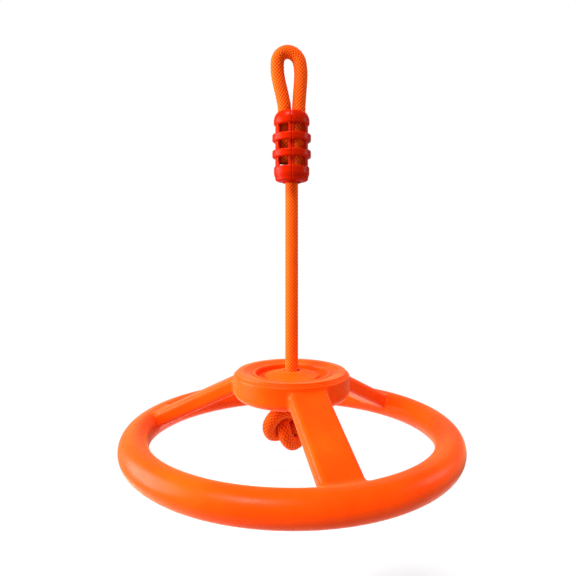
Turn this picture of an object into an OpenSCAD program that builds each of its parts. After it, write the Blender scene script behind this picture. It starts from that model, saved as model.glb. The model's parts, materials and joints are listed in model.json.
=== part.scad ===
/* [Wheel] */
// Outer diameter of the rim
rim_d = 300; // [270:1:330]
// Diameter of the rim's tube
rim_tube_d = 25.2; // [22:0.1:30]
// Wall of the hollow mouldings
wall = 3; // [2:0.1:4]
// Height of the drum's underside above the rim's middle
hub_lift = 34; // [25:1:40]
// Diameter of the hub's drum
drum_d = 104; // [96:1:112]
// Height of the hub's drum
drum_h = 21; // [20:0.1:22]
// Width of a spoke
spoke_w = 33; // [26:1:40]
// Thickness of a spoke
spoke_t = 14; // [11:0.5:16]
// Turn of the first spoke from -Y, counter-clockwise seen from above
spoke_turn = 15.5; // [0:0.5:60]

/* [Hub fittings] */
// Diameter of the cap over the drum
cap_d = 100; // [94:1:102]
// Diameter of the bush's flange
flange_d = 48.6; // [40:0.1:50]
// Diameter of the bush's sleeve
sleeve_d = 20; // [18:0.1:22]
// Running clearance round the sleeve
running_gap = 0.06; // [0.02:0.01:0.1]
// Diameter of the washer on the knot
washer_d = 42; // [34:1:46]

/* [Clamp] */
// Height of the rope clamp
clamp_h = 63; // [58:1:70]
// Diameter of the clamp's bands
band_d = 35; // [33.5:0.1:38]
// Diameter of the clamp's upright bars
bar_d = 29.6; // [28.6:0.1:31]
// Width of the front and rear bars
bar_w = 5.4; // [3:0.2:7]
// Width of the side bars
side_bar_w = 16; // [12:0.5:18]

/* [Rope] */
// Diameter of the rope under load
rope_d = 11.8; // [10:0.1:12]
// Diameter of the slack rope in the eye
eye_rope_d = 12.6; // [11:0.1:12.7]
// Depth of the rim's middle below the eye's bearing point
drop = 339; // [330:1:420]

/* [Hidden] */

orange = [1.0, 0.33, 0.05];
deep_orange = [0.93, 0.29, 0.05];
red = [0.84, 0.12, 0.02];
steel = [0.72, 0.73, 0.75];
smooth = 128;
fine = 48;
step = 0.01;

// Wheel
tube_r = rim_tube_d / 2;
rim_r = rim_d / 2 - tube_r;
drum_r = drum_d / 2;
drum_fillet = 7;
sleeve_r = sleeve_d / 2;
bore_r = sleeve_r + running_gap;
boss_r = sleeve_r + wall;
boss_top = hub_lift + 13.4;
recess_r = 24.5;
recess_h = 4;
spoke_top_hub = hub_lift + 16.2;
spoke_top_rim = 12.5;
spoke_foot_r = 129;
spoke_edge = 4.5;
spoke_start_r = 47;
spoke_end_r = rim_r - 1.5;
spoke_slope = atan((spoke_top_hub - spoke_top_rim) / (spoke_foot_r - drum_r));

// Hub cap and bush
cap_r = cap_d / 2;
cap_base = hub_lift + drum_h + 0.4;
cap_top = cap_base + 2.2;
cap_shoulder = 1.8;
crest_r = 44;
well_r = 32.5;
well_lip = cap_top - 1.7;
well_floor = cap_top - 7.2;
bead_r = 1.1;
spigot_gap = 0.1;
flange_r = flange_d / 2;
flange_base = well_floor + 0.3;
flange_edge = flange_base + 2.8;
flange_top = cap_top - 0.2;
rope_bore_r = 6.6;
washer_mouth_r = 8.9;
washer_t = 2;
washer_top = hub_lift + recess_h;

// Clamp, measured up from its lower end
FOOT_OUTLINE = [[0, 0], [12.4, 0], [14.4, 1], [15.4, 3], [16, 13.6], [0, 13.6]];
SHOULDER_OUTLINE = [
    [0, 0], [16.2, 0], [16, 5], [15.2, 9.6], [14.4, 11.6], [13.2, 12.6], [0, 12.6]
];
mouth_r = 6.5;
lip_r = 8.2;
lip_h = 1.2;
cavity_r = 12.9;
cavity_base = 4;
cavity_top = clamp_h - 7;
strand_x = eye_rope_d / 2 + 0.05;
recess_rows = [13.6, 28.2, 42.8];
row_h = 7.6;
peg_r = 0.9;
peg_l = 2;
peg_y = 14.5;
peg_rows = [8, clamp_h - 9];
clamp_z = -111.4;
pivot_z = clamp_z - lip_h - 1;

// Rope
neck_r = rope_d / 2 - 0.1;
sides = 10;
washer_seat = 26;
knot_turn = 30;
knot_z = -drop + washer_top - washer_t - washer_seat;
run_top = pivot_z - rope_d / 2 - 0.1;
eye_end = pivot_z + rope_d / 2 + 0.3;

// Eye's route, x and z, from the cut end inside the clamp round to the standing strand
EYE_ROUTE = [
    [-6.5, -94], [-6.4, -49], [-8, -36], [-12, -18], [-13, -9], [-12.6, -1], [-9.6, 4.2],
    [-4, 6.3], [2, 4.4], [6.4, -1], [8, -9], [8.2, -18], [6.8, -38], [6.4, -49],
    [6.5, -93], [5.6, -98], [3, -101.4], [0.7, -104.4], [0, -106.2]
];

// Knot's route about its own middle, from the standing rope to the cut end
KNOT_ROUTE = [
    [0, 0, 34], [0, 0, 30], [0, 0, 26.5], [3.5, -1.5, 22], [10, -3, 17.8], [16, -3, 9.3],
    [14, -2.5, 0], [8.2, -0.6, -4.8], [3.8, 4, -6.6], [0, 8.6, -9.4], [-7, 10.5, -12],
    [-16, 8.6, -9.4], [-20.5, 4, 0], [-16, -0.6, 9.4], [-7, -2.5, 12], [0, -0.6, 9.4],
    [3.8, 4, 6.6], [8.2, 8.6, 4.8], [14, 10.5, 0], [16, 8.6, -9.4], [10.2, 4, -17.8],
    [0, -0.6, -18.6], [-7, -2.5, -12], [-8.2, -0.6, -4.8], [-7.6, 4, 0], [-8.2, 8.6, 4.8],
    [-7, 10.6, 12], [0, 11, 19.4], [8.5, 13.5, 19.1], [12.5, 19.5, 10.5], [12.5, 23, 0],
    [11, 23, -16]
];
run_end = knot_z + KNOT_ROUTE[0][2];

// Swept tube along a list of points
function unit(v) = v / norm(v);
function clip(p, i) = p[min(max(i, 0), len(p) - 1)];
function blend4(a, b, c, d, t) =
    0.5 * (2 * b + (c - a) * t + (2 * a - 5 * b + 4 * c - d) * t * t
    + (3 * b - a - 3 * c + d) * t * t * t);
function smoothed(p, n) = concat(
    [for (i = [0:len(p) - 2], k = [0:n - 1])
        blend4(clip(p, i - 1), p[i], p[i + 1], clip(p, i + 2), k / n)],
    [p[len(p) - 1]]
);
function heading(p, i) = unit(clip(p, i + 1) - clip(p, i - 1));
function carried(n, t) = unit(n - (n * t) * t);
function sideways(p, n, i = 0, found = []) =
    i == len(p) ? found
    : let (m = carried(n, heading(p, i))) sideways(p, m, i + 1, concat(found, [m]));
function hoop(c, t, n, r) =
    [for (k = [0:sides - 1]) let (a = 360 * k / sides)
        c + r * (cos(a) * n + sin(a) * cross(t, n))];

module tube(p, r) {
    across = sideways(p, [0, 1, 0]);
    count = len(p);
    points = [for (i = [0:count - 1]) each hoop(p[i], heading(p, i), across[i], r)];
    skin = [for (i = [0:count - 2], k = [0:sides - 1])
        let (a = i * sides + k, b = i * sides + (k + 1) % sides)
        each [[a, a + sides, b], [b, a + sides, b + sides]]];
    first = [[for (k = [0:sides - 1]) k]];
    last = [[for (k = [sides - 1:-1:0]) (count - 1) * sides + k]];
    polyhedron(points, concat(first, last, skin));
}

// Wheel, about the rim's middle
module rim_form(r) {
    rotate_extrude($fn = smooth)
        translate([rim_r, 0])
            circle(r, $fn = fine);
}

module rim() {
    color(orange)
        translate([0, 0, -drop])
            difference() {
                rim_form(tube_r);
                rim_form(tube_r - wall);
            }
}

module drum_form() {
    rotate_extrude($fn = smooth)
        drum_outline();
}

module drum_outline() {
    translate([0, hub_lift])
        square([drum_r - drum_fillet, drum_h]);
    translate([0, hub_lift + drum_fillet])
        square([drum_r, drum_h - drum_fillet]);
    translate([drum_r - drum_fillet, hub_lift + drum_fillet])
        circle(drum_fillet, $fn = fine);
}

module drum_hollow() {
    inner_r = drum_r - wall;
    step_r = recess_r + wall;
    translate([step_r, hub_lift + wall])
        square([inner_r - 4 - step_r, drum_h]);
    translate([step_r, hub_lift + drum_fillet])
        square([inner_r - step_r, drum_h]);
    translate([inner_r - 4, hub_lift + drum_fillet])
        circle(4, $fn = fine);
    translate([boss_r, washer_top + wall])
        square([step_r, drum_h]);
    translate([-step, boss_top])
        square([boss_r + 1, drum_h]);
    translate([-step, hub_lift - 1])
        square([bore_r + step, 2 * drum_h]);
    translate([-step, hub_lift - 1])
        square([recess_r + step, recess_h + 1]);
}

module hub_drum() {
    color(orange)
        translate([0, 0, -drop])
            rotate_extrude($fn = smooth)
                difference() {
                    drum_outline();
                    drum_hollow();
                }
}

module bar_section() {
    square([spoke_w - 2 * spoke_edge, spoke_t], center = true);
    square([spoke_w, spoke_t - 2 * spoke_edge], center = true);
    for (sx = [-1, 1], sy = [-1, 1])
        translate([sx * (spoke_w / 2 - spoke_edge), sy * (spoke_t / 2 - spoke_edge)])
            circle(spoke_edge, $fn = fine);
}

module spoke(number) {
    run = (spoke_end_r - spoke_start_r) / cos(spoke_slope);
    start_z = spoke_top_hub + (drum_r - spoke_start_r) * tan(spoke_slope);
    color(orange)
        translate([0, 0, -drop])
            difference() {
                rotate([0, 0, -90 + spoke_turn + 120 * (number - 1)])
                    translate([spoke_start_r, 0, start_z])
                        rotate([0, 90 + spoke_slope, 0])
                            translate([spoke_t / 2, 0, 0])
                                rotate([0, 0, 90])
                                    linear_extrude(run)
                                        bar_section();
                drum_form();
                rim_form(tube_r);
            }
}

module hub_cap() {
    plate_r = cap_r - cap_shoulder;
    spigot_r = drum_r - wall - spigot_gap;
    color(orange)
        translate([0, 0, -drop])
            rotate_extrude($fn = smooth) {
                polygon([
                    [well_r, cap_base - 2.6], [well_r, well_lip - bead_r],
                    [well_r + 2 * bead_r, well_lip - 0.5], [crest_r, cap_top],
                    [plate_r, cap_top], [plate_r, cap_base],
                    [spigot_r - wall, cap_base - 0.6]
                ]);
                translate([plate_r, cap_base])
                    square([cap_shoulder, cap_top - cap_base - cap_shoulder]);
                translate([plate_r, cap_top - cap_shoulder])
                    intersection() {
                        circle(cap_shoulder, $fn = fine);
                        square(cap_shoulder);
                    }
                translate([well_r + bead_r, well_lip - bead_r])
                    circle(bead_r, $fn = fine);
                translate([bore_r, boss_top])
                    square([well_r + wall - bore_r, well_floor - boss_top]);
                translate([well_r, boss_top])
                    square([wall, well_lip - boss_top - bead_r]);
                translate([spigot_r - wall, cap_base - 3.6])
                    square([wall, 4]);
            }
}

module rope_bush() {
    color(deep_orange)
        translate([0, 0, -drop])
            rotate_extrude($fn = smooth)
                polygon([
                    [rope_bore_r, washer_top + 0.2], [sleeve_r, washer_top + 0.2],
                    [sleeve_r, flange_base], [flange_r, flange_base],
                    [flange_r, flange_edge - 0.8], [flange_r - 0.8, flange_edge],
                    [flange_r - 7, flange_edge + 1.8], [flange_r - 12, flange_top - 0.6],
                    [rope_bore_r + 3, flange_top], [rope_bore_r, flange_top]
                ]);
}

module knot_washer() {
    color(steel)
        translate([0, 0, -drop + washer_top - washer_t])
            rotate_extrude($fn = smooth)
                polygon([
                    [washer_mouth_r, 0], [washer_d / 2, 0], [washer_d / 2, washer_t],
                    [rope_bore_r, washer_t]
                ]);
}

// Rope
module rope_eye() {
    route = [for (p = EYE_ROUTE) [p[0], 0, p[1]]];
    color(deep_orange)
        tube(concat(route, [[0, 0, eye_end]]), eye_rope_d / 2);
}

module rope_neck() {
    color(deep_orange)
        translate([0, 0, pivot_z])
            sphere(neck_r, $fn = fine);
}

module rope_run() {
    color(deep_orange)
        tube([[0, 0, run_top], [0, 0, run_end]], rope_d / 2);
}

module stopper_knot() {
    color(deep_orange)
        translate([0, 0, knot_z])
            rotate([0, 0, knot_turn])
                tube(smoothed(KNOT_ROUTE, 2), rope_d / 2);
}

// Clamp, two half shells about the rope
module clamp_outline() {
    polygon(FOOT_OUTLINE);
    square([bar_d / 2, clamp_h - 6]);
    for (i = [0:1])
        translate([0, recess_rows[i] + row_h])
            square([band_d / 2, recess_rows[i + 1] - recess_rows[i] - row_h]);
    translate([0, recess_rows[2] + row_h])
        polygon(SHOULDER_OUTLINE);
    translate([0, -lip_h])
        square([lip_r, lip_h + 1]);
}

module window_cut(row) {
    translate([0, 0, recess_rows[row]])
        difference() {
            cylinder(h = row_h, r = band_d, $fn = smooth);
            translate([0, 0, -1])
                cylinder(h = row_h + 2, r = cavity_r - 1, $fn = smooth);
            translate([-bar_w / 2, -band_d, -1])
                cube([bar_w, 2 * band_d, row_h + 2]);
            translate([-band_d, -side_bar_w / 2, -1])
                cube([2 * band_d, side_bar_w, row_h + 2]);
        }
}

module clamp_body() {
    difference() {
        rotate_extrude($fn = smooth)
            clamp_outline();
        translate([0, 0, -lip_h - 1])
            cylinder(h = cavity_base + lip_h + 2, r = mouth_r, $fn = smooth);
        translate([0, 0, cavity_base])
            cylinder(h = cavity_top - cavity_base, r = cavity_r, $fn = smooth);
        for (x = [-strand_x, strand_x])
            translate([x, 0, cavity_top - 1])
                cylinder(h = clamp_h, r = mouth_r, $fn = smooth);
        translate([-strand_x, -mouth_r, cavity_top - 1])
            cube([2 * strand_x, 2 * mouth_r, clamp_h]);
        for (row = [0:2])
            window_cut(row);
    }
}

module pegs(r) {
    for (y = [-peg_y, peg_y], z = peg_rows)
        translate([-1, y, z])
            rotate([0, 90, 0])
                cylinder(h = peg_l + 1, r = r, $fn = fine);
}

module clamp_left() {
    color(red)
        translate([0, 0, clamp_z]) {
            intersection() {
                clamp_body();
                translate([-2 * band_d, -band_d, -band_d])
                    cube([2 * band_d, 2 * band_d, 4 * band_d]);
            }
            pegs(peg_r);
        }
}

module clamp_right() {
    color(red)
        translate([0, 0, clamp_z])
            difference() {
                intersection() {
                    clamp_body();
                    translate([0, -band_d, -band_d])
                        cube([2 * band_d, 2 * band_d, 4 * band_d]);
                }
                pegs(peg_r + 0.1);
            }
}

rim();
hub_drum();
spoke(1);  // spoke_1
spoke(2);  // spoke_2
spoke(3);  // spoke_3
hub_cap();
rope_bush();
knot_washer();
rope_eye();
rope_neck();
rope_run();
stopper_knot();
clamp_left();
clamp_right();
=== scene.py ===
import json
import math

import bpy
import numpy as np
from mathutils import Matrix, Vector


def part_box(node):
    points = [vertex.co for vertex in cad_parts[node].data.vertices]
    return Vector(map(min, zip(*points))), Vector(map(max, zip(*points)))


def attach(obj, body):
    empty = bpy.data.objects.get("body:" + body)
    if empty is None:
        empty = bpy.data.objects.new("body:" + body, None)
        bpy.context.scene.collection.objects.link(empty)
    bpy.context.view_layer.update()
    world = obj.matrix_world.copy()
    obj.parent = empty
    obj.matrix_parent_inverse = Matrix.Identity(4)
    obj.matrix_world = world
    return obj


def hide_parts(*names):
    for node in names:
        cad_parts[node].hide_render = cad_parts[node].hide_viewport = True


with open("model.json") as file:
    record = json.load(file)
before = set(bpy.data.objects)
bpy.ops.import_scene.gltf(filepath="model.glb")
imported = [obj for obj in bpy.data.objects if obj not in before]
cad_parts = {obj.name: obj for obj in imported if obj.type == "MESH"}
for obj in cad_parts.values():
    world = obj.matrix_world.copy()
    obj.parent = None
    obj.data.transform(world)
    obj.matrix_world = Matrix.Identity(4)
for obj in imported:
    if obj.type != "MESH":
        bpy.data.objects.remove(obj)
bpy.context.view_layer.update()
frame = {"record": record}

MM = 0.001
RIM_LO, RIM_HI = (np.array(c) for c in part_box("rim"))
RIM_MID_Z = float(RIM_LO[2] + RIM_HI[2]) / 2
HUB_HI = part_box("hub_drum")[1]
CLAMP_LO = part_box("clamp_left")[0]
BUSH_LO, BUSH_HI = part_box("rope_bush")
CAP_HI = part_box("hub_cap")[1]
WASHER_LO, WASHER_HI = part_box("knot_washer")
PIVOT_Z = next(j["pos_m"][2] for j in frame["record"]["behaviour"]["joints"]
               if j["name"] == "swing_side")
KNOT_DROP = 0.026
KNOT_Z = float(WASHER_LO[2]) - KNOT_DROP
KNOT_TURN = math.radians(30)


# Camera: level, looking along +Y, 169 mm above the middle of the rim
def make_camera():
    data = bpy.data.cameras.new("camera")
    camera = bpy.data.objects.new("camera", data)
    bpy.context.collection.objects.link(camera)
    camera.location = (-0.0033, -0.4764, RIM_MID_Z + 0.1689)
    camera.rotation_euler = (math.pi / 2, 0, 0)
    data.sensor_width = 36
    data.lens = 32.9
    data.shift_y = -0.0714
    data.clip_start = 0.01
    data.clip_end = 100
    bpy.context.scene.camera = camera


# Meshes
def mesh_object(name, points, faces, smooth=True):
    mesh = bpy.data.meshes.new(name)
    mesh.from_pydata([tuple(p) for p in points], [], [tuple(int(i) for i in f) for f in faces])
    mesh.validate()
    mesh.polygons.foreach_set("use_smooth", [smooth] * len(mesh.polygons))
    mesh.update()
    obj = bpy.data.objects.new(name, mesh)
    bpy.context.collection.objects.link(obj)
    return obj


def lathe(name, outline, centre_z=0.0, turns=160):
    """A closed outline of (radius, height) in mm, turned about the rope's line."""
    outline = np.array(outline) * MM
    angles = np.arange(turns) * 2 * math.pi / turns
    points = np.stack([
        np.cos(angles)[:, None] * outline[:, 0],
        np.sin(angles)[:, None] * outline[:, 0],
        np.broadcast_to(outline[:, 1] + centre_z, (turns, len(outline))),
    ], axis=2).reshape(-1, 3)
    n = len(outline)
    faces = []
    for i in range(turns):
        j = (i + 1) % turns
        for k in range(n):
            m = (k + 1) % n
            faces.append((i * n + k, j * n + k, j * n + m, i * n + m))
    return mesh_object(name, points, faces)


def rounded(corners, steps=6):
    """An outline with each corner (radius, height, rounding) turned into an arc."""
    out = []
    count = len(corners)
    for i in range(count):
        x, y, r = corners[i]
        here = np.array([x, y], float)
        before = np.array(corners[i - 1][:2], float) - here
        after = np.array(corners[(i + 1) % count][:2], float) - here
        if r <= 0:
            out.append(here)
            continue
        a = before / np.linalg.norm(before)
        b = after / np.linalg.norm(after)
        half = math.acos(max(-1, min(1, float(a @ b)))) / 2
        reach = min(r / math.tan(half), 0.48 * np.linalg.norm(before), 0.48 * np.linalg.norm(after))
        for t in np.linspace(0, 1, steps + 1):
            out.append((1 - t) ** 2 * (here + reach * a) + 2 * t * (1 - t) * here
                       + t * t * (here + reach * b))
    return out


def soft_min(a, b, k):
    h = np.maximum(k - np.abs(a - b), 0) / k
    return np.minimum(a, b) - h * h * k / 4


def soft_max(a, b, k):
    return -soft_min(-a, -b, k)


def net(name, field, low, high, cell):
    """The surface field = 0, in mm, as quads, one point to a cell that it crosses."""
    low, high = np.array(low, float), np.array(high, float)
    count = np.ceil((high - low) / cell).astype(int) + 1
    axes = [low[i] + cell * np.arange(count[i]) for i in range(3)]
    value = np.empty(count)
    for k in range(count[2]):
        x, y = np.meshgrid(axes[0], axes[1], indexing="ij")
        value[:, :, k] = field(x, y, np.full_like(x, axes[2][k]))
    inside = value < 0
    corner = [(a, b, c) for a in (0, 1) for b in (0, 1) for c in (0, 1)]
    total = np.zeros(count - 1, np.int8)
    for a, b, c in corner:
        total += inside[a:count[0] - 1 + a, b:count[1] - 1 + b, c:count[2] - 1 + c]
    cells = np.argwhere((total > 0) & (total < 8))
    place = np.zeros((len(cells), 3))
    hits = np.zeros(len(cells))
    for p in corner:
        for axis in range(3):
            if p[axis]:
                continue
            q = list(p)
            q[axis] = 1
            u = value[tuple((cells + p).T)]
            v = value[tuple((cells + q).T)]
            cross = (u < 0) != (v < 0)
            t = np.where(cross, u / np.where(cross, u - v, 1), 0)
            spot = np.array(p) + t[:, None] * (np.array(q) - np.array(p))
            place += np.where(cross[:, None], spot, 0)
            hits += cross
    points = low + cell * (cells + place / hits[:, None])
    index = -np.ones(count - 1, np.int64)
    index[tuple(cells.T)] = np.arange(len(cells))
    faces = []
    for axis in range(3):
        one, two = (axis + 1) % 3, (axis + 2) % 3
        first = [slice(None)] * 3
        second = [slice(None)] * 3
        first[axis], second[axis] = slice(0, -1), slice(1, None)
        a, b = inside[tuple(first)], inside[tuple(second)]
        edge = np.argwhere(a != b)
        out = a[tuple(edge.T)]
        step_one, step_two = np.eye(3, dtype=int)[one], np.eye(3, dtype=int)[two]
        ring = [edge - step_one - step_two, edge - step_two, edge, edge - step_one]
        quad = np.stack([index[tuple(r.T)] for r in ring], axis=1)
        quad[~out] = quad[~out][:, ::-1]
        faces.append(quad)
    faces = np.concatenate(faces)
    for _ in range(4):
        here = field(*points.T)
        slope = np.stack([
            field(*(points + d).T) - field(*(points - d).T) for d in np.eye(3) * 0.02
        ], axis=1) / 0.04
        move = slope * (here / np.maximum((slope ** 2).sum(axis=1), 0.2))[:, None]
        size = np.linalg.norm(move, axis=1)
        points = points - move * np.minimum(1, 0.5 * cell / np.maximum(size, 1e-9))[:, None]
    return mesh_object(name, points * MM, faces)


# Ropes: route points in metres, as in part.scad
EYE_ROUTE = [
    (-0.0065, -0.094), (-0.0064, -0.049), (-0.008, -0.036), (-0.012, -0.018),
    (-0.013, -0.009), (-0.0126, -0.001), (-0.0096, 0.0042), (-0.004, 0.0063),
    (0.002, 0.0044), (0.0064, -0.001), (0.008, -0.009), (0.0082, -0.018),
    (0.0068, -0.038), (0.0064, -0.049), (0.0065, -0.093), (0.0056, -0.098),
    (0.003, -0.1014), (0.0007, -0.1044), (0.0, -0.1062), (0.0, -0.1074),
]
KNOT_ROUTE = [
    (0, 0, 0.034), (0, 0, 0.030), (0, 0, 0.0265), (0.0035, -0.0015, 0.022),
    (0.010, -0.003, 0.0178), (0.016, -0.003, 0.0093), (0.014, -0.0025, 0),
    (0.0082, -0.0006, -0.0048), (0.0038, 0.004, -0.0066), (0, 0.0086, -0.0094),
    (-0.007, 0.0105, -0.012), (-0.016, 0.0086, -0.0094), (-0.0205, 0.004, 0),
    (-0.016, -0.0006, 0.0094), (-0.007, -0.0025, 0.012), (0, -0.0006, 0.0094),
    (0.0038, 0.004, 0.0066), (0.0082, 0.0086, 0.0048), (0.014, 0.0105, 0),
    (0.016, 0.0086, -0.0094), (0.0102, 0.004, -0.0178), (0, -0.0006, -0.0186),
    (-0.007, -0.0025, -0.012), (-0.0082, -0.0006, -0.0048), (-0.0076, 0.004, 0),
    (-0.0082, 0.0086, 0.0048), (-0.007, 0.0106, 0.012), (0, 0.011, 0.0194),
    (0.0085, 0.0135, 0.0191), (0.0125, 0.0195, 0.0105), (0.0125, 0.023, 0),
    (0.011, 0.023, -0.016),
]


def flowing(route, step):
    """A smooth line through the route's points, evenly spaced."""
    p = np.array(route, float)
    p = np.vstack([2 * p[0] - p[1], p, 2 * p[-1] - p[-2]])
    line = []
    for i in range(1, len(p) - 2):
        a, b, c, d = p[i - 1], p[i], p[i + 1], p[i + 2]
        for t in np.arange(24) / 24:
            line.append(0.5 * (2 * b + (c - a) * t + (2 * a - 5 * b + 4 * c - d) * t ** 2
                               + (3 * b - a - 3 * c + d) * t ** 3))
    line.append(p[-2])
    line = np.array(line)
    far = np.r_[0, np.cumsum(np.linalg.norm(np.diff(line, axis=0), axis=1))]
    even = np.linspace(0, far[-1], int(round(far[-1] / step)) + 1)
    return np.stack([np.interp(even, far, line[:, k]) for k in range(3)], axis=1), even


def carried_frames(line):
    """A heading at each point, and two crosswise directions that don't twist."""
    heading = np.gradient(line, axis=0)
    heading /= np.linalg.norm(heading, axis=1)[:, None]
    across = np.zeros_like(line)
    start = np.array([0, 1, 0.0])
    for i, t in enumerate(heading):
        start = start - (start @ t) * t
        start /= np.linalg.norm(start)
        across[i] = start
    return heading, across, np.cross(heading, across)


# Yarns each way round the braid, and the length in which one goes once round (m)
STRANDS = 12
LAY = 0.040
EYE_R, RUN_R, NECK_R = 0.0062, 0.0059, 0.0054
DOME_RINGS = 12
FATTENING = 0.012


def plait(turn, along):
    """Height of the braid's yarns, 0 in the grooves to 1 on the crests."""
    u = STRANDS * (turn + along / LAY)
    v = STRANDS * (turn - along / LAY)
    i, j = np.round(u), np.round(v)
    over = 0.30 * np.cos(math.pi * (i + v))
    under = -0.30 * np.cos(math.pi * (j + u))
    yarn_a = np.sqrt(np.maximum(1 - (1.96 * (u - i)) ** 2, 0.0))
    yarn_b = np.sqrt(np.maximum(1 - (1.96 * (v - j)) ** 2, 0.0))
    height = np.maximum(over + 0.7 * yarn_a, under + 0.7 * yarn_b)
    return np.clip(height, 0, 1)


def braided(name, route, radius, ends, around=110, step=0.00055, relief=0.0008, slack=None):
    """A braided rope along a route, each end closed by a dome of ends times its radius.
    slack is (distance along, extra radius) past which the unloaded rope is fatter."""
    line, far = flowing(route, step)
    start, extra = slack or (0, 0)
    heading, across, beside = carried_frames(line)
    places, size = [], []
    dome = np.linspace(0, 1, DOME_RINGS + 1)[:-1]
    for s in dome:
        a = s * math.pi / 2
        places.append((0, -math.cos(a) * radius * ends[0]))
        size.append(math.sin(a) if s else 0.02)
    for i in range(len(line)):
        places.append((i, 0.0))
        size.append(1.0)
    for s in dome[::-1]:
        a = s * math.pi / 2
        places.append((len(line) - 1, math.cos(a) * radius * ends[1]))
        size.append(math.sin(a) if s else 0.02)
    turn = np.arange(around) / around
    cos, sin = np.cos(2 * math.pi * turn), np.sin(2 * math.pi * turn)
    points, heights, lengths = [], [], []
    for (i, off), k in zip(places, size):
        along = far[i] + off
        h = plait(turn, along) * min(1, k * 1.5)
        full = radius + extra * min(1, max(0, (along - start) / FATTENING))
        r = (full - relief * (1 - h)) * k
        spot = line[i] + off * heading[i]
        points.append(spot + r[:, None] * (cos[:, None] * across[i] + sin[:, None] * beside[i]))
        heights.append(h)
        lengths.append(np.full(around, along))
    points = np.concatenate(points)
    rows = len(places)
    faces = []
    for i in range(rows - 1):
        for k in range(around):
            m = (k + 1) % around
            faces.append((i * around + k, i * around + m,
                          (i + 1) * around + m, (i + 1) * around + k))
    faces.append(tuple(range(around - 1, -1, -1)))
    faces.append(tuple(range((rows - 1) * around, rows * around)))
    obj = mesh_object(name, points, faces)
    for label, data in (("relief", heights), ("along", lengths)):
        layer = obj.data.attributes.new(label, "FLOAT", "POINT")
        layer.data.foreach_set("value", np.concatenate(data).astype(np.float32))
    return obj, line, float(far[-1])


# Materials
def material(name):
    made = bpy.data.materials.new(name)
    made.use_nodes = True
    nodes, links = made.node_tree.nodes, made.node_tree.links
    return made, nodes, links, nodes["Principled BSDF"]


def noise(nodes, links, source, scale, detail=4.0, rough=0.55):
    node = nodes.new("ShaderNodeTexNoise")
    node.inputs["Scale"].default_value = scale
    node.inputs["Detail"].default_value = detail
    node.inputs["Roughness"].default_value = rough
    links.new(source, node.inputs["Vector"])
    return node.outputs["Fac"]


def spread(nodes, links, source, low, high):
    node = nodes.new("ShaderNodeMapRange")
    node.inputs["From Min"].default_value = 0.3
    node.inputs["From Max"].default_value = 0.7
    node.inputs["To Min"].default_value = low
    node.inputs["To Max"].default_value = high
    links.new(source, node.inputs["Value"])
    return node.outputs["Result"]


def ramp(nodes, links, source, stops):
    node = nodes.new("ShaderNodeValToRGB")
    band = node.color_ramp
    band.elements[0].position, band.elements[0].color = stops[0][0], (*stops[0][1], 1)
    band.elements[1].position, band.elements[1].color = stops[-1][0], (*stops[-1][1], 1)
    for place, colour in stops[1:-1]:
        band.elements.new(place).color = (*colour, 1)
    links.new(source, node.inputs["Fac"])
    return node.outputs["Color"]


def bumped(nodes, links, shader, layers):
    last = None
    for height, distance, strength in layers:
        node = nodes.new("ShaderNodeBump")
        node.inputs["Distance"].default_value = distance
        node.inputs["Strength"].default_value = strength
        links.new(height, node.inputs["Height"])
        if last:
            links.new(last, node.inputs["Normal"])
        last = node.outputs["Normal"]
    links.new(last, shader.inputs["Normal"])


def moulded(name, light, main, dark, rough, gloss, grain, wave, bloom=0.0):
    """Moulded plastic: faint colour drift, painted highlight on convex edges, grain and slow
    waviness.
    bloom is the weight of a pale orange sheen at grazing angles."""
    made, nodes, links, shader = material(name)
    where = nodes.new("ShaderNodeTexCoord").outputs["Object"]
    drift = noise(nodes, links, where, 22, 3)
    base = ramp(nodes, links, drift, [(0.30, dark), (0.5, main), (0.72, light)])
    # painted highlight: convex edges, found by pointiness, are mixed towards the light colour, which
    # is both the pale drift tone and this painted highlight
    edge = nodes.new("ShaderNodeNewGeometry").outputs["Pointiness"]
    painted_edge_highlight = nodes.new("ShaderNodeMapRange")
    painted_edge_highlight.inputs["From Min"].default_value = 0.52
    painted_edge_highlight.inputs["From Max"].default_value = 0.60
    painted_edge_highlight.inputs["To Max"].default_value = 0.30
    links.new(edge, painted_edge_highlight.inputs["Value"])
    mix = nodes.new("ShaderNodeMix")
    mix.data_type = "RGBA"
    links.new(painted_edge_highlight.outputs["Result"], mix.inputs["Factor"])
    links.new(base, mix.inputs["A"])
    mix.inputs["B"].default_value = (*light, 1)
    links.new(mix.outputs["Result"], shader.inputs["Base Color"])
    smear = noise(nodes, links, where, 160, 5)
    links.new(spread(nodes, links, smear, rough - 0.05, rough + 0.06), shader.inputs["Roughness"])
    shader.inputs["Specular IOR Level"].default_value = gloss
    if bloom:
        shader.inputs["Sheen Weight"].default_value = bloom
        shader.inputs["Sheen Roughness"].default_value = 0.35
        shader.inputs["Sheen Tint"].default_value = (1.0, 0.62, 0.22, 1)
    bumped(nodes, links, shader, [
        (noise(nodes, links, where, 85, 2), 0.0006, wave),
        (noise(nodes, links, where, 420, 3), 0.0002, grain),
        (noise(nodes, links, where, 1500, 3), 0.00008, grain),
    ])
    return made


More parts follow.
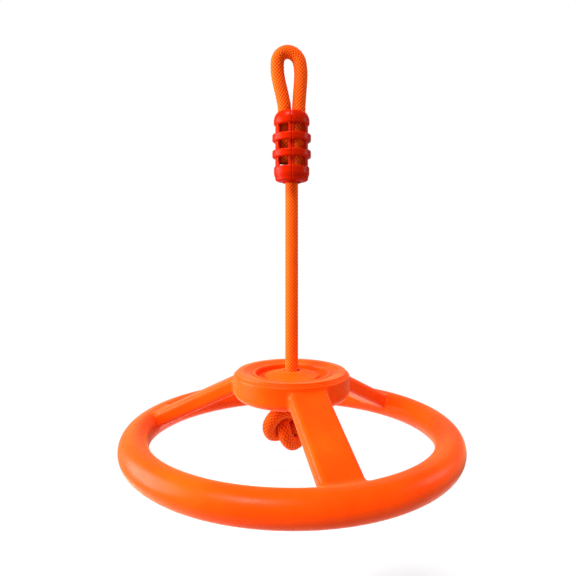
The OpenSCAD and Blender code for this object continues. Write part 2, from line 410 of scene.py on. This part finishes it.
def rope_fibre(name, painted_highlight_crest, body, painted_shade_groove):
    """Braided yarn: painted shade in the grooves, painted highlight on the crests, and fine fibres
    along each yarn.
    """
    made, nodes, links, shader = material(name)
    relief = nodes.new("ShaderNodeAttribute")
    relief.attribute_name = "relief"
    where = nodes.new("ShaderNodeTexCoord").outputs["Object"]
    # painted shade in the braid's grooves and painted highlight on its crests, set by the relief
    # height
    base = ramp(nodes, links, relief.outputs["Fac"], [(0.50, painted_shade_groove), (0.74, body), (0.96, painted_highlight_crest)])
    fuzz = noise(nodes, links, where, 2600, 3)
    drift = noise(nodes, links, where, 120, 3)
    mix = nodes.new("ShaderNodeMix")
    mix.data_type = "RGBA"
    mix.blend_type = "MULTIPLY"
    links.new(spread(nodes, links, drift, 0.05, 0.45), mix.inputs["Factor"])
    links.new(base, mix.inputs["A"])
    links.new(ramp(nodes, links, fuzz, [(0.3, (0.62, 0.5, 0.5)), (0.7, (1.0, 1.0, 1.0))]),
              mix.inputs["B"])
    links.new(mix.outputs["Result"], shader.inputs["Base Color"])
    links.new(spread(nodes, links, fuzz, 0.55, 0.8), shader.inputs["Roughness"])
    shader.inputs["Specular IOR Level"].default_value = 0.05
    shader.inputs["Sheen Weight"].default_value = 0.08
    shader.inputs["Sheen Roughness"].default_value = 0.4
    bumped(nodes, links, shader, [(fuzz, 0.0002, 0.5)])
    return made


def zinc(name):
    made, nodes, links, shader = material(name)
    where = nodes.new("ShaderNodeTexCoord").outputs["Object"]
    base = ramp(nodes, links, noise(nodes, links, where, 260, 5),
                [(0.3, (0.42, 0.43, 0.46)), (0.7, (0.66, 0.67, 0.70))])
    links.new(base, shader.inputs["Base Color"])
    links.new(spread(nodes, links, noise(nodes, links, where, 700, 4), 0.25, 0.45),
              shader.inputs["Roughness"])
    shader.inputs["Metallic"].default_value = 1.0
    bumped(nodes, links, shader, [(noise(nodes, links, where, 1800, 3), 0.00006, 0.5)])
    return made


# Pieces
def make_ropes():
    # the crest colour is a painted highlight and the groove colour is painted shade
    fibre = rope_fibre("rope_fibre", (1.0, 0.15, 0.004), (0.90, 0.072, 0.001),
                       (0.58, 0.027, 0.0005))
    eye_route = [(x, 0.0, z) for x, z in EYE_ROUTE]
    upper, line, long = braided("rope_upper", eye_route, EYE_R, (0.25, 0.25))
    upper.data.materials.append(fibre)
    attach(upper, "hanger")
    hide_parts("rope_eye")
    cos, sin = math.cos(KNOT_TURN), math.sin(KNOT_TURN)
    knot = [(x * cos - y * sin, x * sin + y * cos, z + KNOT_Z) for x, y, z in KNOT_ROUTE]
    straight = np.linspace(PIVOT_Z, knot[0][2], 7)[:-1]
    lower_route = [(0, 0, float(z)) for z in straight] + knot
    neck_line = [(0, 0, PIVOT_Z - 0.0001), (0, 0, PIVOT_Z + 0.0001)]
    neck, _, _ = braided("rope_neck_braid", neck_line, NECK_R, (1.0, 1.0), 64, 0.0002)
    neck.data.materials.append(fibre)
    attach(neck, "neck")
    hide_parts("rope_neck")
    lower, line, long = braided("rope_lower", lower_route, RUN_R, (0.98, 0.35),
                                slack=(PIVOT_Z - KNOT_Z - KNOT_DROP, 0.0003))
    lower.data.materials.append(fibre)
    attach(lower, "rope")
    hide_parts("rope_run", "stopper_knot")


# Wheel, in mm above the middle of the rim
RIM_R, TUBE_R = 137.4, 12.6
HUB_LIFT, DRUM_R, DRUM_H = 34.0, 52.0, 21.0
DRUM_FOOT_EDGE, DRUM_TOP_EDGE = 7.0, 0.9
SPOKE_TURN = 15.5
SPOKE_TOP, SPOKE_TOP_AT_RIM, SPOKE_RUN = 50.2, 12.5, 77.0
SPOKE_HALF_WIDE, SPOKE_HALF_THICK, SPOKE_EDGE = 16.5, 7.0, 4.5
SPOKE_MID, SPOKE_HALF_LONG, SPOKE_CEILING = 38.0, 54.0, 50.4
RECESS_R, RECESS_DEEP = 24.5, 4.0
WELL_R, WELL_FLOOR = 48.9, 13.4
BORE_R = 10.06
WASHER_GAP = 0.12


def round_corner(q, w, edge):
    return np.hypot(np.maximum(q, 0), np.maximum(w, 0)) + np.minimum(np.maximum(q, w), 0) - edge


def slab(r, z, wide, low, high, edge):
    """A disc with rounded edges."""
    q = r - wide + edge
    w = np.abs(z - (low + high) / 2) - (high - low) / 2 + edge
    return round_corner(q, w, edge)


def spoke_field(x, y, z, turn):
    a = math.radians(-90 + SPOKE_TURN + turn)
    u = x * math.cos(a) + y * math.sin(a)
    v = -x * math.sin(a) + y * math.cos(a)
    slope = math.atan2(SPOKE_TOP - SPOKE_TOP_AT_RIM, SPOKE_RUN)
    along = (u - DRUM_R) * math.cos(slope) - (z - SPOKE_TOP) * math.sin(slope)
    above = (u - DRUM_R) * math.sin(slope) + (z - SPOKE_TOP) * math.cos(slope) + SPOKE_HALF_THICK
    q = np.abs(v) - SPOKE_HALF_WIDE + SPOKE_EDGE
    w = np.abs(above) - SPOKE_HALF_THICK + SPOKE_EDGE
    return soft_max(round_corner(q, w, SPOKE_EDGE), np.abs(along - SPOKE_MID) - SPOKE_HALF_LONG, 4.0)


def wheel_field(x, y, z):
    r = np.hypot(x, y)
    ring = np.hypot(r - RIM_R, z) - TUBE_R
    top = HUB_LIFT + DRUM_H
    drum = np.where(z < HUB_LIFT + DRUM_H / 2,
                    slab(r, z, DRUM_R, HUB_LIFT, top, DRUM_FOOT_EDGE),
                    slab(r, z, DRUM_R, HUB_LIFT, top, DRUM_TOP_EDGE))
    arms = spoke_field(x, y, z, 0)
    arms = np.minimum(arms, spoke_field(x, y, z, 120))
    arms = np.minimum(arms, spoke_field(x, y, z, 240))
    arms = soft_max(arms, z - SPOKE_CEILING, 1.0)
    body = soft_min(soft_min(ring, arms, 3.0), drum, 3.0)
    recess = np.maximum(r - RECESS_R, z - HUB_LIFT - RECESS_DEEP)
    body = soft_max(body, -recess, 1.2)
    body = np.maximum(body, -np.maximum(r - WELL_R, HUB_LIFT + WELL_FLOOR - z))
    return soft_max(body, BORE_R - r, 0.6)


def make_wheel(plastic):
    cell = 1.25

    def placed(x, y, z):
        return wheel_field(x, y, z - RIM_MID_Z / MM)

    low = RIM_LO / MM - 3
    high = np.array([RIM_HI[0], RIM_HI[1], HUB_HI[2]]) / MM + 3
    wheel = net("wheel_moulding", placed, low, high, cell)
    wheel.data.materials.append(plastic)
    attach(wheel, "wheel")
    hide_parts("rim", "hub_drum", "spoke_1", "spoke_2", "spoke_3")


def make_hub_parts(plastic, bush_plastic, steel):
    base = RIM_MID_Z
    top = float(CAP_HI[2] - base) / MM
    lid_foot, ledge, well_floor = top - 10.2, top - 2.5, top - 7.2
    cap = lathe("hub_cap_shell", rounded([
        (BORE_R, lid_foot, 0.3), (48.8, lid_foot, 0.3), (48.8, ledge, 0),
        (50.4, ledge, 0.4), (50.4, top - 1.9, 0.4), (49.3, top - 1.6, 0.4),
        (49.0, top, 1.5), (43.5, top, 5.0), (36.2, top - 2.5, 1.0), (34.9, top - 1.6, 0.9),
        (33.2, top - 1.6, 0.9), (32.5, top - 2.8, 0.9), (32.4, well_floor, 1.2),
        (BORE_R, well_floor, 0.3),
    ], 8), base)
    cap.data.materials.append(plastic)
    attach(cap, "wheel")
    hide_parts("hub_cap")
    crown = float(BUSH_HI[2] - base) / MM
    foot = float(BUSH_LO[2] - base) / MM
    bush = lathe("rope_bush_turned", rounded([
        (6.6, foot, 0.5), (10.0, foot, 0.5), (10.0, crown - 6.7, 0.4), (24.3, crown - 6.7, 0.4),
        (24.3, crown - 3.9, 0.9), (22.6, crown - 3.7, 1.0), (16.5, crown - 1.9, 5.0),
        (10.6, crown - 0.1, 3.0), (6.6, crown, 0.9),
    ], 8), base)
    bush.data.materials.append(bush_plastic)
    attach(bush, "bush")
    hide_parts("rope_bush")
    low = float(WASHER_LO[2] - base) / MM
    high = float(WASHER_HI[2] - base) / MM - WASHER_GAP
    washer = lathe("knot_washer_pressed", rounded([
        (8.9, low, 0.4), (21.0, low, 0.4), (21.0, high, 0.7), (6.6, high, 0.5),
    ]), base)
    washer.data.materials.append(steel)
    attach(washer, "rope")
    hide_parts("knot_washer")


# Clamp, in mm above its foot, whose lip hangs CLAMP_LIP below it
CLAMP_LIP = 1.2
RINGS_AT, RING_H, RING_R = (21.2, 35.8), 7.0, 17.5
WINDOWS_AT, WINDOW_HALF_H = (13.6, 28.2, 42.8), 3.8
MOUTH_R, MOUTH_FLARE, THROAT_HALF = 6.5, 0.7, 6.35
SPLIT = 0.06


def clamp_field(x, y, z):
    r = np.hypot(x, y)
    flare = 13.0 + 3.0 * np.clip(z / 7.0, 0, 1) ** 0.6
    foot = soft_max(slab(r, z, 40.0, 0.0, 13.6, 1.0), (r - flare) * 0.9, 1.6)
    dome = 16.2 - 3.6 * np.clip((z - 54.0) / 9.0, 0, 1) ** 2.2
    shoulder = soft_max(slab(r, z, 40.0, 50.4, 63.0, 1.0), (r - dome) * 0.8, 2.2)
    body = np.minimum(slab(r, z, 14.8, 1.0, 60.0, 1.0), foot)
    body = np.minimum(body, shoulder)
    for low in RINGS_AT:
        body = soft_min(body, slab(r, z, RING_R, low, low + RING_H, 1.5), 0.6)
    body = soft_min(body, slab(r, z, 8.2, -CLAMP_LIP, 2.0, 0.5), 0.5)
    for low in WINDOWS_AT:
        gap = soft_max(np.abs(z - low - WINDOW_HALF_H) - WINDOW_HALF_H, 11.5 - r, 0.6)
        gap = soft_max(soft_max(gap, 2.7 - np.abs(x), 0.9), 8.0 - np.abs(y), 0.9)
        body = soft_max(body, -gap, 0.8)
    inside = slab(r, z, 12.9, 4.0, 56.0, 0.6)
    bell = MOUTH_R + MOUTH_FLARE * np.clip((0.3 - z) / 1.5, 0, 1)
    mouth = np.maximum(r - bell, z - 8.0)
    lip = np.hypot(np.maximum(np.abs(x) - THROAT_HALF, 0), y) - MOUTH_R
    throat = np.maximum(lip, 50.0 - z)
    return soft_max(body, -np.minimum(np.minimum(inside, mouth), throat), 0.8)


def make_clamp(plastic):
    cell = 0.42
    base = float(CLAMP_LO[2]) / MM + CLAMP_LIP
    for name, node, side in (("clamp_shell_left", "clamp_left", -1),
                             ("clamp_shell_right", "clamp_right", 1)):
        def half(x, y, z, side=side):
            return soft_max(clamp_field(x, y, z - base), SPLIT - side * x, 0.5)

        low = [-18.4, -18.4, base - 2.2] if side < 0 else [-0.8, -18.4, base - 2.2]
        high = [0.8, 18.4, base + 64.2] if side < 0 else [18.4, 18.4, base + 64.2]
        shell = net(name, half, low, high, cell)
        shell.data.materials.append(plastic)
        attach(shell, "hanger")
        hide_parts(node)


# Stage and light
FLOOR_SIDES, FLOOR_R, FLOOR_DROP = 96, 0.62, 0.30


def lamp(name, kind, place, size, power):
    """A soft lamp that looks at the middle of the object."""
    data = bpy.data.lights.new(name, kind)
    data.energy = power
    if kind == "SUN":
        data.angle = size
    else:
        data.shape = "DISK"
        data.size = size
    light = bpy.data.objects.new(name, data)
    bpy.context.collection.objects.link(light)
    light.location = place
    way = Vector((0, 0, RIM_MID_Z + 0.1)) - Vector(place)
    light.rotation_euler = way.to_track_quat("-Z", "Y").to_euler()


def make_stage():
    angles = np.arange(FLOOR_SIDES) * 2 * math.pi / FLOOR_SIDES
    z = RIM_MID_Z - FLOOR_DROP
    ring = [(FLOOR_R * math.cos(a), FLOOR_R * math.sin(a), z) for a in angles]
    floor = mesh_object("floor", ring, [tuple(range(FLOOR_SIDES))], smooth=False)
    pale, nodes, links, shader = material("pale_floor")
    where = nodes.new("ShaderNodeTexCoord").outputs["Object"]
    links.new(ramp(nodes, links, noise(nodes, links, where, 3, 2),
                   [(0.3, (0.49, 0.49, 0.49)), (0.7, (0.52, 0.52, 0.52))]),
              shader.inputs["Base Color"])
    shader.inputs["Roughness"].default_value = 0.9
    floor.data.materials.append(pale)
    world = bpy.data.worlds.new("studio")
    bpy.context.scene.world = world
    world.use_nodes = True
    nodes, links = world.node_tree.nodes, world.node_tree.links
    split = nodes.new("ShaderNodeSeparateXYZ")
    links.new(nodes.new("ShaderNodeTexCoord").outputs["Generated"], split.inputs["Vector"])
    room = ramp(nodes, links, split.outputs["Z"], [(0.30, (0.36, 0.36, 0.36)),
                                                  (0.80, (0.26, 0.26, 0.26))])
    seen = nodes.new("ShaderNodeMix")
    seen.data_type = "RGBA"
    links.new(nodes.new("ShaderNodeLightPath").outputs["Is Camera Ray"], seen.inputs["Factor"])
    links.new(room, seen.inputs["A"])
    seen.inputs["B"].default_value = (1.0, 1.0, 1.0, 1)
    links.new(seen.outputs["Result"], nodes["Background"].inputs["Color"])
    lamp("key", "SUN", (-0.6, -0.75, 1.2), 0.35, 5.0)
    lamp("left", "AREA", (-1.15, 0.0, -0.05), 1.0, 38)
    lamp("right", "AREA", (1.2, 0.1, 0.15), 0.5, 5)
    lamp("back", "AREA", (0.5, 1.0, 0.6), 0.6, 1)
    bpy.context.scene.view_settings.view_transform = "Standard"


make_camera()
make_ropes()
orange = moulded("wheel_plastic", (0.91, 0.066, 0.0010), (0.86, 0.053, 0.0006),
                 (0.81, 0.045, 0.0004), 0.30, 0.05, 0.6, 0.25, bloom=0.30)
# painted light: the bush's orange is the wheel's orange made lighter and yellower, standing in for
# the lit, upward-facing disc
bush_orange_painted_light = moulded("bush_plastic", (0.91, 0.088, 0.0012), (0.87, 0.074, 0.0007),
                      (0.82, 0.062, 0.0005), 0.42, 0.04, 0.5, 0.15, bloom=0.15)
red = moulded("clamp_plastic", (0.56, 0.014, 0.0005), (0.49, 0.011, 0.0003),
              (0.43, 0.009, 0.0002), 0.24, 0.03, 0.2, 0.12)
make_wheel(orange)
make_hub_parts(orange, bush_orange_painted_light, zinc("washer_steel"))
make_clamp(red)
make_stage()
